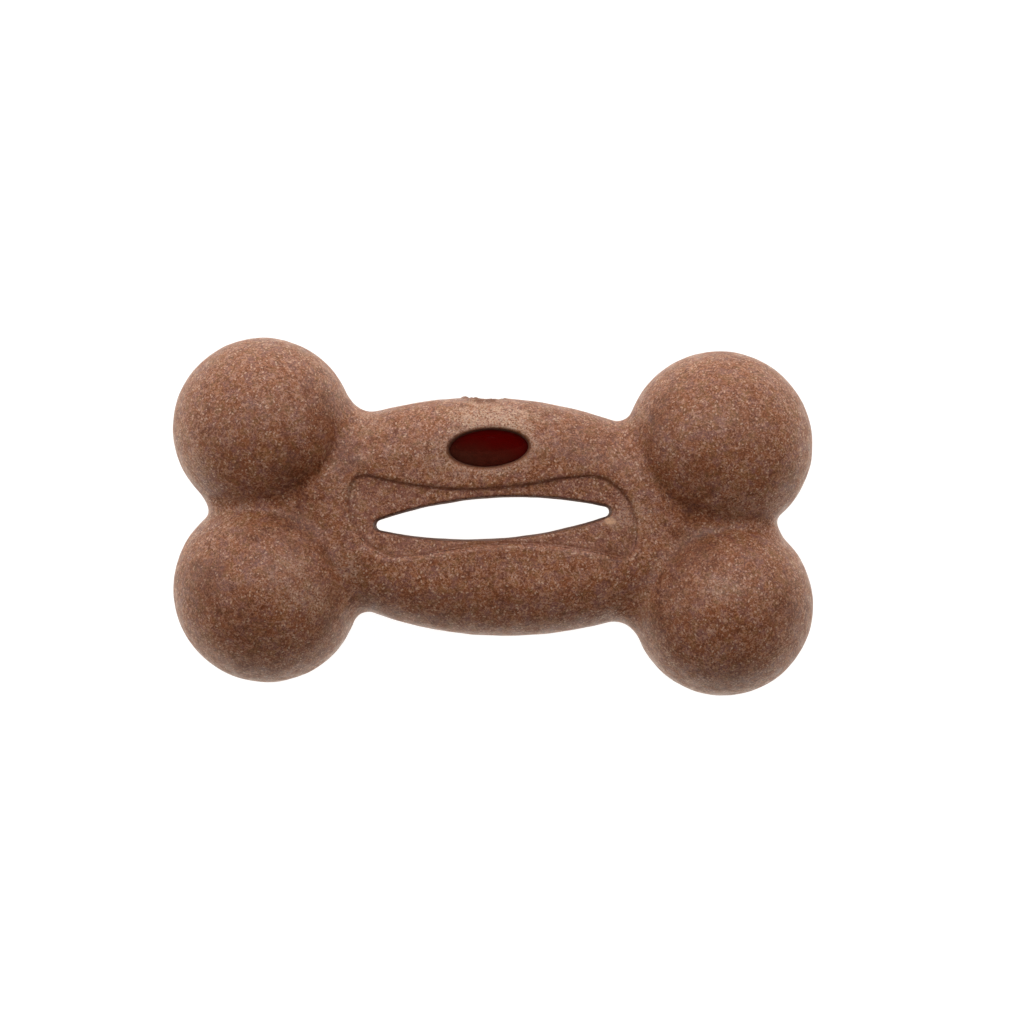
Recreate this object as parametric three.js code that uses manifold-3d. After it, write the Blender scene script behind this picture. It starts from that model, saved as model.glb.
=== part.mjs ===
// Dog chew bone: a moulded wood-fibre body with four round knobs and a slotted barrel between
// them, and a captive red core in one of the barrel's two beams, seen through oval windows.
//
// Millimetres, +Z up. The bone lies flat on its four knobs, with +X along its length and the
// origin under its middle. Its plan looks the same after half a turn about Z, apart from the core.

import * as THREE from 'three';
import { mergeVertices } from 'three/addons/utils/BufferGeometryUtils.js';
import Module from 'manifold-3d';

const { clamp, degToRad, lerp, smoothstep } = THREE.MathUtils;

// Knobs: a small and a large one at each end, alike at opposite corners and all equally tall
const SMALL_KNOB_RADIUS = 20.9;
const SMALL_KNOB_X = 54;
const SMALL_KNOB_Y = 18.6;
const LARGE_KNOB_RADIUS = 21.6;
const LARGE_KNOB_X = 51.8;
const LARGE_KNOB_Y = 18.6;
const KNOB_HALF_HEIGHT = 20.9;
const REST_FLAT_DEPTH = 0.4;

// Barrel between the knobs: arched sides, flat faces and a full round edge
const BARREL_HALF_WIDTH = 27.5;
const BARREL_HALF_LENGTH = 62;
const BARREL_HALF_THICKNESS = 12.5;
const BARREL_SIDE_RADIUS = 92;
const BARREL_CREST_X = -0.7;

// Fillets where the knobs run into the barrel: wide at its sides, a tight crease on its two faces
const SMALL_KNOB_FILLET = 6.3;
const LARGE_KNOB_FILLET = 3.7;
const FILLET_CHANGE_WIDTH = 16;
const CREASE_FILLET = 1.8;
const CREASE_BELOW_FACE = 0.5;
const CREASE_CHANGE_HEIGHT = 6;

// Slot right through the barrel: a lens with round tips, narrowest at the mid-plane
const SLOT_LENGTH = 54;
const SLOT_WIDTH = 9.4;
const SLOT_TIP_RADIUS = 1.2;
const SLOT_TILT_DEGREES = 5.5;
const SLOT_SHIFT_Y = -0.4;
const SLOT_DRAFT = 0.4;

// Shallow recess round the slot on both faces: a waisted panel with round ends
const RECESS_DEPTH = 1;
const RECESS_DISH = 0.6;
const RECESS_WALL_RUN = 0.3;
const RECESS_END_LAND = 6.5;
const RECESS_END_RADIUS = 13.3;
const RECESS_END_DROP = 2.4;
const RECESS_WAIST_LAND = 1.7;
const RECESS_WAIST_X = -8.8;
const RECESS_WAIST_RADIUS = 87;
const RECESS_CORNER_RADIUS = 3;

// Core in the upper beam, and the windows that show it on both faces
const CORE_DIAMETER = 14;
const CORE_LENGTH = 28;
const CORE_X = -1.5;
const CORE_WALL = 2.9;
const CORE_CLEARANCE = 0.3;
const WINDOW_LENGTH = 18.6;
const WINDOW_WIDTH = 8.8;
const WINDOW_SHIFT_Y = -1.6;

// How far a cutting block reaches past what it cuts
const CUT_OVERRUN = 10;

// Fineness of the faceting
const STATIONS = 116;
const TRACE_STATIONS = 960;
const SKIN_ROWS = 18;
const SKIN_ROW_BUNCHING = 1.5;
const CREASE_CROWDING = 0.12;
const CREASE_CROWD_SPREAD = 1.5;
const CREASE_PASSING_SHARE = 1.3;
const SPINE_SHARE = 0.46;
const WINDOW_SEGMENTS = 20;
const CORE_SIDES = 28;
const CORE_CAP_ROWS = 7;
const BISECTIONS = 44;

const SLOT_TILT = degToRad(SLOT_TILT_DEGREES);
const MID_HEIGHT = KNOB_HALF_HEIGHT - REST_FLAT_DEPTH;
const OUTER_X = Math.max(SMALL_KNOB_X + SMALL_KNOB_RADIUS, LARGE_KNOB_X + LARGE_KNOB_RADIUS);
const OUTER_Y = Math.max(SMALL_KNOB_Y + SMALL_KNOB_RADIUS, LARGE_KNOB_Y + LARGE_KNOB_RADIUS);
const CREASE_FULL_HEIGHT = BARREL_HALF_THICKNESS - CREASE_BELOW_FACE;
const CREASE_START_HEIGHT = CREASE_FULL_HEIGHT - CREASE_CHANGE_HEIGHT;
const DOME_SHARE = Math.sqrt(1 - (BARREL_HALF_THICKNESS / KNOB_HALF_HEIGHT) ** 2);

// Knob centres. Opposite corners of the plan are alike.
const SMALL_KNOBS = [
  { x: -SMALL_KNOB_X, y: SMALL_KNOB_Y, radius: SMALL_KNOB_RADIUS },
  { x: SMALL_KNOB_X, y: -SMALL_KNOB_Y, radius: SMALL_KNOB_RADIUS },
];
const LARGE_KNOBS = [
  { x: -LARGE_KNOB_X, y: -LARGE_KNOB_Y, radius: LARGE_KNOB_RADIUS },
  { x: LARGE_KNOB_X, y: LARGE_KNOB_Y, radius: LARGE_KNOB_RADIUS },
];

// Distance to the nearest of some knobs, negative inside. Heights here count from the mid-plane.
function knobDistance(knobs, x, y, z) {
  const distances = knobs.map((knob) => {
    const roundedZ = z * knob.radius / KNOB_HALF_HEIGHT;
    return Math.hypot(x - knob.x, y - knob.y, roundedZ) - knob.radius;
  });
  return Math.min(...distances);
}

// Distance to the barrel: the plan's lens, cut off square inside the knobs, with a round edge.
function barrelDistance(x, y, z) {
  const arcCentreY = BARREL_SIDE_RADIUS - BARREL_HALF_WIDTH;
  const upperSide = Math.hypot(x - BARREL_CREST_X, y + arcCentreY) - BARREL_SIDE_RADIUS;
  const lowerSide = Math.hypot(x + BARREL_CREST_X, y - arcCentreY) - BARREL_SIDE_RADIUS;
  const plan = Math.max(upperSide, lowerSide, Math.abs(x) - BARREL_HALF_LENGTH);
  const fromFlat = Math.max(plan + BARREL_HALF_THICKNESS, 0);
  return Math.hypot(fromFlat, z) - BARREL_HALF_THICKNESS;
}

// Distance to the whole outer skin, with a rolling fillet wherever two shapes meet. The fillet
// grows from the large knob's to the small knob's on the way from one to the other, and shrinks
// to the crease's with height.
function skinDistance(x, y, z) {
  const small = knobDistance(SMALL_KNOBS, x, y, z);
  const large = knobDistance(LARGE_KNOBS, x, y, z);
  const shapes = [small, large, barrelDistance(x, y, z)];
  const halfChange = FILLET_CHANGE_WIDTH / 2;
  const towardsSmall = smoothstep(large - small, -halfChange, halfChange);
  const sideFillet = lerp(LARGE_KNOB_FILLET, SMALL_KNOB_FILLET, towardsSmall);
  const towardsFace = smoothstep(Math.abs(z), CREASE_START_HEIGHT, CREASE_FULL_HEIGHT);
  const fillet = lerp(sideFillet, CREASE_FILLET, towardsFace);
  const reach = Math.hypot(...shapes.map((distance) => Math.max(fillet - distance, 0)));
  return Math.max(fillet, Math.min(...shapes)) - reach;
}

// The slot's own axes in plan: its middle, its long direction and its cross direction.
const SLOT_MIDDLE = new THREE.Vector2(0, SLOT_SHIFT_Y);
const SLOT_ALONG = new THREE.Vector2(Math.cos(SLOT_TILT), Math.sin(SLOT_TILT));
const SLOT_ACROSS = new THREE.Vector2(-Math.sin(SLOT_TILT), Math.cos(SLOT_TILT));

// Distance to the slot's throat in plan. The lens inside the tip radius is two equal arcs.
function slotDistance(x, y) {
  const fromMiddle = new THREE.Vector2(x, y).sub(SLOT_MIDDLE);
  const along = Math.abs(fromMiddle.dot(SLOT_ALONG));
  const across = Math.abs(fromMiddle.dot(SLOT_ACROSS));
  const tipX = SLOT_LENGTH / 2 - SLOT_TIP_RADIUS;
  const bulge = SLOT_WIDTH / 2 - SLOT_TIP_RADIUS;
  const arcRadius = (tipX * tipX + bulge * bulge) / (2 * bulge);
  const arcCentre = arcRadius - bulge;
  const pastTip = (across + arcCentre) * tipX < along * arcCentre;
  const toSide = Math.hypot(along, across + arcCentre) - arcRadius;
  const toTip = Math.hypot(along - tipX, across);
  return (pastTip ? toTip : toSide) - SLOT_TIP_RADIUS;
}

// Distance to the recess outline in plan: a round-ended panel, waisted by two arcs that bow
// towards the slot, with the corners between them rounded.
function recessDistance(x, y) {
  const endX = SLOT_LENGTH / 2 + RECESS_END_LAND - RECESS_END_RADIUS;
  const endY = -RECESS_END_DROP;
  const share = (x * endX + y * endY) / (endX * endX + endY * endY);
  const along = clamp(share, -1, 1);
  const panel = Math.hypot(x - along * endX, y - along * endY) - RECESS_END_RADIUS;

  const waistY = SLOT_WIDTH / 2 + RECESS_WAIST_LAND;
  const arcY = waistY + RECESS_WAIST_RADIUS;
  const upperArc = RECESS_WAIST_RADIUS - Math.hypot(x - RECESS_WAIST_X, y - arcY);
  const lowerArc = RECESS_WAIST_RADIUS - Math.hypot(x + RECESS_WAIST_X, y + arcY);
  const waist = Math.max(upperArc, lowerArc);

  const overPanel = Math.max(panel + RECESS_CORNER_RADIUS, 0);
  const overWaist = Math.max(waist + RECESS_CORNER_RADIUS, 0);
  const inside = Math.min(Math.max(panel, waist), -RECESS_CORNER_RADIUS);
  return Math.hypot(overPanel, overWaist) + inside;
}

// The first zero of a rising function between two limits.
function crossing(rising, low, high) {
  for (let i = 0; i < BISECTIONS; i += 1) {
    const middle = (low + high) / 2;
    if (rising(middle) < 0) {
      low = middle;
    } else {
      high = middle;
    }
  }
  return (low + high) / 2;
}

// Height of the skin over a plan point, from the mid-plane.
function skinHeight(point) {
  return crossing((z) => skinDistance(point.x, point.y, z), 0, 2 * KNOB_HALF_HEIGHT);
}

// The sections fan out from a spine on the slot's axis, square to it along its length and all
// round at its two ends. A station is a point on the spine with a direction away from it.
const SPINE_HALF = SLOT_LENGTH * SPINE_SHARE;

function stationThrough(point) {
  const along = clamp(point.clone().sub(SLOT_MIDDLE).dot(SLOT_ALONG), -SPINE_HALF, SPINE_HALF);
  const base = SLOT_MIDDLE.clone().addScaledVector(SLOT_ALONG, along);
  return { base, direction: point.clone().sub(base).normalize() };
}

function pointAt(station, reach) {
  return station.base.clone().addScaledVector(station.direction, reach);
}

// How far a station's line runs before it leaves an outline in plan.
function reachOf(station, distance) {
  const farthest = Math.hypot(OUTER_X, OUTER_Y);
  return crossing((reach) => {
    const point = pointAt(station, reach);
    return distance(point.x, point.y);
  }, 0, farthest);
}

// Stations spread evenly along the bone's outline, found on a close trace all round the spine.
function evenStations() {
  const traced = [];
  for (let i = 0; i < TRACE_STATIONS; i += 1) {
    const angle = 2 * Math.PI * i / TRACE_STATIONS;
    const around = SLOT_MIDDLE.clone()
      .addScaledVector(SLOT_ALONG, 2 * SPINE_HALF * Math.cos(angle))
      .addScaledVector(SLOT_ACROSS, SPINE_HALF * Math.sin(angle));
    const station = stationThrough(around);
    const edge = pointAt(station, reachOf(station, (x, y) => skinDistance(x, y, 0)));
    traced.push(new THREE.Vector3(edge.x, edge.y, 0));
  }
  const outline = new THREE.CatmullRomCurve3(traced, true);
  outline.arcLengthDivisions = TRACE_STATIONS;
  const even = outline.getSpacedPoints(STATIONS).slice(0, STATIONS);
  return even.map((point) => stationThrough(new THREE.Vector2(point.x, point.y)));
}

// Where a station's line runs from the barrel's face onto a knob's dome. The strength falls from 1
// to 0 for lines that pass the dome by.
function domeCrease(station, knob) {
  const toKnob = new THREE.Vector2(knob.x, knob.y).sub(station.base);
  const ahead = toKnob.dot(station.direction);
  const aside = Math.abs(toKnob.cross(station.direction));
  const domeRadius = knob.radius * DOME_SHARE;
  const reach = ahead - Math.sqrt(Math.max(domeRadius ** 2 - aside ** 2, 0));
  const passing = smoothstep(aside, domeRadius, CREASE_PASSING_SHARE * domeRadius);
  return { reach, strength: ahead > 0 ? 1 - passing : 0 };
}

// Reaches of a section's rows from the edge to the recess, closest at the edge and in the creases.
function skinReaches(station, edgeReach, rimReach) {
  const creases = [...SMALL_KNOBS, ...LARGE_KNOBS].map((knob) => domeCrease(station, knob));
  const rowsBefore = (share) => {
    const reach = lerp(edgeReach, rimReach, share);
    return creases.reduce((rows, crease) => {
      const past = Math.atan((crease.reach - reach) / CREASE_CROWD_SPREAD);
      return rows + CREASE_CROWDING * crease.strength * past;
    }, share ** (1 / SKIN_ROW_BUNCHING));
  };
  const reaches = [];
  for (let row = 1; row < SKIN_ROWS; row += 1) {
    const wanted = lerp(rowsBefore(0), rowsBefore(1), row / SKIN_ROWS);
    const share = crossing((inward) => rowsBefore(inward) - wanted, 0, 1);
    reaches.push(lerp(edgeReach, rimReach, share));
  }
  return reaches;
}

// One section of the body, from its edge at the mid-plane over the top face into the slot, and
// back along the underside, which mirrors the top.
function bodySection(station) {
  const edgeReach = reachOf(station, (x, y) => skinDistance(x, y, 0));
  const rimReach = reachOf(station, recessDistance);
  const throatReach = reachOf(station, slotDistance);
  const mouthReach = throatReach + SLOT_DRAFT;
  const floorReach = rimReach - RECESS_WALL_RUN;

  const over = [];
  const place = (reach, height) => {
    const point = pointAt(station, reach);
    over.push(new THREE.Vector3(point.x, point.y, height));
  };
  place(edgeReach, 0);
  for (const reach of skinReaches(station, edgeReach, rimReach)) {
    place(reach, skinHeight(pointAt(station, reach)));
  }
  const rimHeight = skinHeight(pointAt(station, rimReach));
  const floorHeight = rimHeight - RECESS_DEPTH;
  place(rimReach, rimHeight);
  place(floorReach, floorHeight);
  place(mouthReach, floorHeight - RECESS_DISH);
  place(throatReach, 0);

  const under = over.slice(1, -1).reverse();
  return over.concat(under.map((point) => new THREE.Vector3(point.x, point.y, -point.z)));
}

// A closed ring-shaped skin through sections that all have the same number of points.
function loftRound(sections) {
  const rows = sections[0].length;
  const positions = sections.flat().flatMap((point) => point.toArray());
  const corner = (section, row) => (section % sections.length) * rows + row % rows;
  const index = [];
  for (let section = 0; section < sections.length; section += 1) {
    for (let row = 0; row < rows; row += 1) {
      const a = corner(section, row);
      const b = corner(section + 1, row);
      const c = corner(section + 1, row + 1);
      const d = corner(section, row + 1);
      index.push(a, b, c, a, c, d);
    }
  }
  const geometry = new THREE.BufferGeometry();
  geometry.setAttribute('position', new THREE.Float32BufferAttribute(positions, 3));
  geometry.setIndex(index);
  return geometry;
}

// Solids for joining and cutting
const wasm = await Module();
wasm.setup();

function toSolid(geometry) {
  const bare = geometry.clone();
  bare.deleteAttribute('normal');
  bare.deleteAttribute('uv');
  const merged = mergeVertices(bare);
  return new wasm.Manifold(new wasm.Mesh({
    numProp: 3,
    vertProperties: new Float32Array(merged.attributes.position.array),
    triVerts: new Uint32Array(merged.index.array),
  }));
}

function toGeometry(solid) {
  const mesh = solid.getMesh();
  const geometry = new THREE.BufferGeometry();
  geometry.setAttribute('position', new THREE.BufferAttribute(mesh.vertProperties, 3));
  geometry.setIndex(new THREE.BufferAttribute(mesh.triVerts, 1));
  geometry.computeVertexNormals();
  return geometry;
}

// The core sits a wall's thickness inside the barrel's upper edge, lying along the slot.
const CORE_SEAT_RADIUS = CORE_DIAMETER / 2 + CORE_CLEARANCE;
const CORE_Y = BARREL_HALF_WIDTH - CORE_WALL - CORE_SEAT_RADIUS;

// A pill lying along X, turned to the slot's tilt and set in the core's place. Grown by a gap.
function pillGeometry(gap) {
  const radius = CORE_DIAMETER / 2 + gap;
  const straight = CORE_LENGTH - CORE_DIAMETER;
  const pill = new THREE.CapsuleGeometry(radius, straight, CORE_CAP_ROWS, CORE_SIDES);
  pill.rotateZ(Math.PI / 2 + SLOT_TILT);
  pill.translate(CORE_X, CORE_Y, 0);
  return pill;
}

// The oval that both windows are cut with, from one face to the other
function windowGeometry() {
  const oval = new THREE.Shape();
  oval.absellipse(0, 0, WINDOW_LENGTH / 2, WINDOW_WIDTH / 2, 0, 2 * Math.PI, false, SLOT_TILT);
  const halfDepth = BARREL_HALF_THICKNESS + CUT_OVERRUN;
  const cut = new THREE.ExtrudeGeometry(oval, {
    depth: 2 * halfDepth,
    bevelEnabled: false,
    curveSegments: WINDOW_SEGMENTS,
  });
  cut.translate(CORE_X, CORE_Y + WINDOW_SHIFT_Y, -halfDepth);
  return cut;
}

// A block under the four knobs that trims them to flats to rest on
function restGeometry() {
  const halfLength = OUTER_X + CUT_OVERRUN;
  const halfWidth = OUTER_Y + CUT_OVERRUN;
  const height = REST_FLAT_DEPTH + CUT_OVERRUN;
  const block = new THREE.BoxGeometry(2 * halfLength, 2 * halfWidth, height);
  block.translate(0, 0, -MID_HEIGHT - height / 2);
  return block;
}

function bodyGeometry() {
  const skin = toSolid(loftRound(evenStations().map(bodySection)));
  const body = skin
    .subtract(toSolid(pillGeometry(CORE_CLEARANCE)))
    .subtract(toSolid(windowGeometry()))
    .subtract(toSolid(restGeometry()));
  return toGeometry(body);
}

const fibreBrown = new THREE.MeshStandardMaterial({ color: 0x8f6652, roughness: 0.7, metalness: 0 });
const clearRed = new THREE.MeshStandardMaterial({ color: 0x7a0a0a, roughness: 0.12, metalness: 0 });

const chewBody = new THREE.Mesh(bodyGeometry(), fibreBrown);
chewBody.name = 'chew_body';

const redCore = new THREE.Mesh(pillGeometry(0), clearRed);
redCore.name = 'red_core';

const chewBone = new THREE.Group();
chewBone.add(chewBody, redCore);
chewBone.position.z = MID_HEIGHT;

export default chewBone;
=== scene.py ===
"""Looks of the dog chew bone: a flecked wood-fibre body and a glossy red core in its upper beam.

Sizes are millimetres in the bone's own frame, with heights counted from its mid-plane, and follow
the solids' sizes. Meshes are written in metres in the shared frame.
"""
import math

import bpy
import numpy as np
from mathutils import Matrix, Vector


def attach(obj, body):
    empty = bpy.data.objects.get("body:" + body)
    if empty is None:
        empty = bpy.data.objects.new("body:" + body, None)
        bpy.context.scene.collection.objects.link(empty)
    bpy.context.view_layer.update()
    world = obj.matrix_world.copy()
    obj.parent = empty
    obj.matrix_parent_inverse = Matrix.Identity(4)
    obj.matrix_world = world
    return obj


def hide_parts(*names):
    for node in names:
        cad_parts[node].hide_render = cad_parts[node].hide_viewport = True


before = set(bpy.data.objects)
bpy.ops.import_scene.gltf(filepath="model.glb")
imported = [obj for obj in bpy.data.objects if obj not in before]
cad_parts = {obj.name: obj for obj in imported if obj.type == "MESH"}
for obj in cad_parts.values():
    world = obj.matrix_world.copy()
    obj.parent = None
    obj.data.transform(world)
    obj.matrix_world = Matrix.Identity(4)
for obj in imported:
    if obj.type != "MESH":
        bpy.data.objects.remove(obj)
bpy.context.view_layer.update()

MM = 0.001

# Knobs: a small and a large one at each end, alike at opposite corners
SMALL_KNOB_RADIUS = 20.9
SMALL_KNOB_X = 54.0
SMALL_KNOB_Y = 18.6
LARGE_KNOB_RADIUS = 21.6
LARGE_KNOB_X = 51.8
LARGE_KNOB_Y = 18.6
KNOB_HALF_HEIGHT = 20.9
REST_FLAT_DEPTH = 0.4
MID_HEIGHT = KNOB_HALF_HEIGHT - REST_FLAT_DEPTH

# Barrel between the knobs, and the fillets of the knobs on it
BARREL_HALF_WIDTH = 27.5
BARREL_HALF_LENGTH = 62.0
BARREL_HALF_THICKNESS = 12.5
BARREL_SIDE_RADIUS = 92.0
BARREL_CREST_X = -0.7
SMALL_KNOB_FILLET = 6.3
LARGE_KNOB_FILLET = 3.7
FILLET_CHANGE_WIDTH = 16.0
CREASE_FILLET = 1.8
CREASE_FULL_HEIGHT = BARREL_HALF_THICKNESS - 0.5
CREASE_START_HEIGHT = CREASE_FULL_HEIGHT - 6.0
DOME_SHARE = math.sqrt(1 - (BARREL_HALF_THICKNESS / KNOB_HALF_HEIGHT) ** 2)

# Slot, narrowest at the mid-plane
SLOT_LENGTH = 54.0
SLOT_WIDTH = 9.4
SLOT_TIP_RADIUS = 1.2
SLOT_TILT = math.radians(5.5)
SLOT_SHIFT_Y = -0.4
SLOT_DRAFT = 0.4
SLOT_MOUTH_ROUND = 0.5

# Shallow recess round the slot
RECESS_DEPTH = 1.0
RECESS_DISH = 0.2
RECESS_WALL_RUN = 0.6
RECESS_RIM_ROUND = 1.0
RECESS_FLOOR_ROUND = 0.5
RECESS_END_LAND = 6.5
RECESS_END_RADIUS = 13.3
RECESS_END_DROP = 2.4
RECESS_WAIST_LAND = 1.7
RECESS_WAIST_X = -8.8
RECESS_WAIST_RADIUS = 87.0
RECESS_CORNER_RADIUS = 3.0

# Core, its seat and its windows
CORE_RADIUS = 7.0
CORE_LENGTH = 28.0
CORE_X = -1.5
CORE_WALL = 2.9
CORE_CLEARANCE = 0.3
SEAT_RADIUS = CORE_RADIUS + CORE_CLEARANCE
CORE_Y = BARREL_HALF_WIDTH - CORE_WALL - SEAT_RADIUS
WINDOW_LENGTH = 18.6
WINDOW_WIDTH = 8.8
WINDOW_Y = CORE_Y - 1.6
WINDOW_RIM_ROUND = 1.2
WINDOW_DRAFT = 0.25
WINDOW_MARGIN = 2.2

# Gate scar on the upper beam's edge: a rough flat face in a torn burr that is highest on the left
GATE_X = -3.1
GATE_RADIUS = 4.6
GATE_FACE_Y = 27.15
GATE_FACE_FADE = 0.35
GATE_FACE_ROUGHNESS = 0.05
GATE_FACE_GRAIN_LENGTH = 1.3
GATE_BURR = 0.5
GATE_BURR_WIDTH = 0.55
GATE_BURR_TEAR_LENGTH = 2.4
GATE_BURR_MEAN = 0.35
GATE_BURR_SPREAD = 0.6
GATE_BURR_MOST = 1.6
GATE_BURR_LOW_X = GATE_X + 2.0
GATE_BURR_HIGH_X = GATE_X - 4.0
GATE_BURR_RIGHT_SHARE = 0.3

# Skin: a parting ridge at the mid-plane, clear of the slot, and slow and fine unevenness
PARTING_RIDGE = 0.05
PARTING_WIDTH = 0.3
PARTING_START_LAND = 6.0
PARTING_FULL_LAND = 9.0
SKIN_SWELL = 0.03
SKIN_SWELL_LENGTH = 9.0
SKIN_GRAIN = 0.012
SKIN_GRAIN_LENGTH = 2.6
CORE_RIDGE = 0.06
CORE_RIDGE_SHARPNESS = 40

# Noise: how many waves it adds up, and how slow and how fast they run next to the wavelength asked for
WAVE_COUNT = 28
SLOWEST_WAVE = 0.6
FASTEST_WAVE = 1.4

# Fold: a low wavering lip round the upper part of the lower left knob, where the mix met as it filled
FOLD_RADIUS = 13.8
FOLD_HEIGHT = 0.28
FOLD_WIDTH = 1.0
FOLD_WAVER = 0.7
FOLD_WAVER_LENGTH = 6.0
FOLD_ANGLE = math.radians(80)
FOLD_HALF_SPAN = math.radians(45)
# Painted shadow just inside the fold's lip
FOLD_UNDER_SHADE = 0.9

# Pale fibre: a patch between the gate and the window, dust round the window, and a paler band in one knob's
# crease
PATCH_X = -1.0
PATCH_Y = 22.4
PATCH_HALF_LENGTH = 10.5
PATCH_HALF_WIDTH = 3.8
PATCH_EDGE_SHARE = 1.2
PATCH_FULL_SHARE = 0.5
RIM_DUST = 0.45
RIM_DUST_REACH = 2.6
RIM_DUST_FULL_REACH = 1.4
CREASE_PALENESS = 0.25
CREASE_PALE_SHARE = 0.88
CREASE_PALE_SPREAD = 0.05
PALE_RAGGEDNESS = 0.22
PALE_RAG_LENGTH = 2.6
PALE_TOP_FADE = 2.0

# Painted shade in the knobs' creases towards the bone's middle: strength, share of the knob's radius and
# spread of each band
CREASE_SHADE_BANDS = [(0.45, 0.77, 0.05), (0.35, 0.70, 0.13)]
CREASE_SHADE_RAGGEDNESS = 0.25
CREASE_SHADE_RAG_LENGTH = 5.0
BAND_FULL_INWARD = 0.8

# Painted shade on the rims, where walls and openings fall into shade: of the recess wall, darkest on its
# upper side and faint at its ends, and the openings
LINE_WIDTH = 0.33
LINE_LOWER_INSET = RECESS_WALL_RUN + 0.3
LINE_UPPER_INSET = RECESS_WALL_RUN / 2
LINE_LOWER_SHADE = 0.9
LINE_UPPER_SHADE = 1.15
LINE_LOWER_Y = -2.0
LINE_UPPER_Y = 5.0
LINE_FADE_X = 28.0
LINE_END_X = 33.0
LINE_END_SHARE = 0.45
FACE_START_HEIGHT = 0.5 * BARREL_HALF_THICKNESS
FACE_FULL_HEIGHT = 0.7 * BARREL_HALF_THICKNESS
WINDOW_SHADE = 1.2
WINDOW_SHADE_REACH = 0.9
WINDOW_SHADE_FULL_REACH = 0.1
SLOT_SHADE = 0.65
SLOT_SHADE_REACH = 1.0
SLOT_SHADE_FULL_REACH = 0.2
CORE_SHADE_REACH = 1.4

# Discoloured ring round the gate
SCAR_RADIUS = 6.0
SCAR_EDGE_SHARE = 1.1
SCAR_FULL_SHARE = 0.75
SCAR_START_Y = 25.6

# A painted highlight beside the slot's right tip, where the corner of its wall catches the light
TIP_HIGHLIGHT_X = 26.95
TIP_HIGHLIGHT_Y = -0.05
TIP_HIGHLIGHT_REACH = 1.9
TIP_HIGHLIGHT_FULL_REACH = 0.4 * TIP_HIGHLIGHT_REACH
TIP_HIGHLIGHT_SLIMNESS = 1.7
TIP_HIGHLIGHT_HEIGHT_WEIGHT = 0.2

# Blotches, partly the fibre's own mottling and partly painted highlight and shade, such as the pale one on
# the lower left knob's crown: where in plan, how far they reach, and how pale (above 0, only on top) or dark
# (below 0)
BLOTCHES = [
    (-49.0, -20.5, 5.5, 0.40),
    (-66.0, -17.5, 7.5, -0.75),
    (-54.0, -26.0, 8.0, -0.60),
    (-45.0, -12.5, 4.0, 0.30),
    (-39.5, -21.0, 5.5, 0.40),
    (-60.0, 12.0, 6.0, -0.25),
    (-46.0, 9.0, 6.5, -0.75),
    (-45.0, -1.0, 6.5, -0.60),
    (-70.5, 9.0, 5.5, 0.35),
    (-59.0, -0.5, 6.0, 0.30),
    (-37.5, 25.5, 4.5, -0.35),
    (-34.0, 12.0, 5.5, -0.55),
    (-33.4, 5.0, 4.0, 0.35),
    (-33.0, -13.0, 5.0, 0.35),
    (-30.0, 20.0, 4.5, 0.30),
    (-12.0, 12.5, 5.5, 0.40),
    (-10.0, -21.0, 6.0, -0.25),
    (0.0, -17.0, 8.0, -0.25),
    (10.0, 24.5, 5.0, -0.30),
    (21.0, 19.0, 9.0, -0.30),
    (29.0, 1.0, 3.5, 0.50),
    (28.5, -7.5, 4.5, -0.75),
    (34.5, 1.0, 5.0, 0.30),
    (37.0, -23.5, 4.0, -0.50),
    (42.5, -14.5, 5.0, -0.35),
    (44.5, 0.5, 4.5, -0.60),
    (46.8, -5.5, 7.0, -0.75),
    (47.0, 10.5, 7.5, -0.55),
    (52.0, -14.0, 5.0, 0.35),
    (55.2, 3.0, 5.0, 0.40),
    (58.0, -33.0, 5.0, -0.35),
    (67.0, 11.5, 5.0, -0.40),
    (69.0, -18.0, 7.5, -0.55),
]
BLOTCH_RAGGEDNESS = 0.22
BLOTCH_RAG_LENGTH = 4.0
BLOTCH_EDGE_SHARE = 1.1
BLOTCH_FULL_SHARE = 0.3

# Fineness of the meshes
STATIONS = 600
TRACE_STATIONS = 7200
GATE_CROWDING = 1.5
GATE_CROWD_REACH = 10.0
SKIN_ROWS = 44
SKIN_ROW_BUNCHING = 1.7
CREASE_CROWDING = 0.09
CREASE_CROWD_SPREAD = 1.2
CREASE_PASSING_SHARE = 1.3
CORNER_ROWS = 5
FLOOR_ROWS = 4
SLOT_WALL_ROWS = 6
WINDOW_SKIN_ROWS = 10
WINDOW_WALL_ROWS = 8
SEAT_ROWS = 6
CORE_SIDES = 64
CORE_CAP_ROWS = 16
CORE_STRAIGHT_ROWS = 8
SPINE_HALF = 0.46 * SLOT_LENGTH
BISECTIONS = 40
WINDOW_STATION_MARGIN = WINDOW_MARGIN + 1
WINDOW_STATION_COSINE = 0.99
SMALLEST_NORMAL = 1e-12
SMALLEST_DIVISOR = 0.01


def lerp(low, high, share):
    return low + (high - low) * share


def smoothstep(low, high, value):
    share = np.clip((value - low) / (high - low), 0, 1)
    return share * share * (3 - 2 * share)


def opposite_knobs(x, y, radius):
    """Two like knobs at opposite corners, each a place in plan with a radius."""
    return [(x, y, radius), (-x, -y, radius)]


SMALL_KNOBS = opposite_knobs(-SMALL_KNOB_X, SMALL_KNOB_Y, SMALL_KNOB_RADIUS)
LARGE_KNOBS = opposite_knobs(-LARGE_KNOB_X, -LARGE_KNOB_Y, LARGE_KNOB_RADIUS)
PALE_CREASE_KNOB = SMALL_KNOBS[1]
FOLDED_KNOB = LARGE_KNOBS[0]


# Distance functions, negative inside
def knob_distance(knobs, x, y, z):
    spans = []
    for knob_x, knob_y, radius in knobs:
        rounded_z = z * radius / KNOB_HALF_HEIGHT
        spans.append(np.sqrt((x - knob_x) ** 2 + (y - knob_y) ** 2 + rounded_z ** 2) - radius)
    return np.minimum(*spans)


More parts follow.
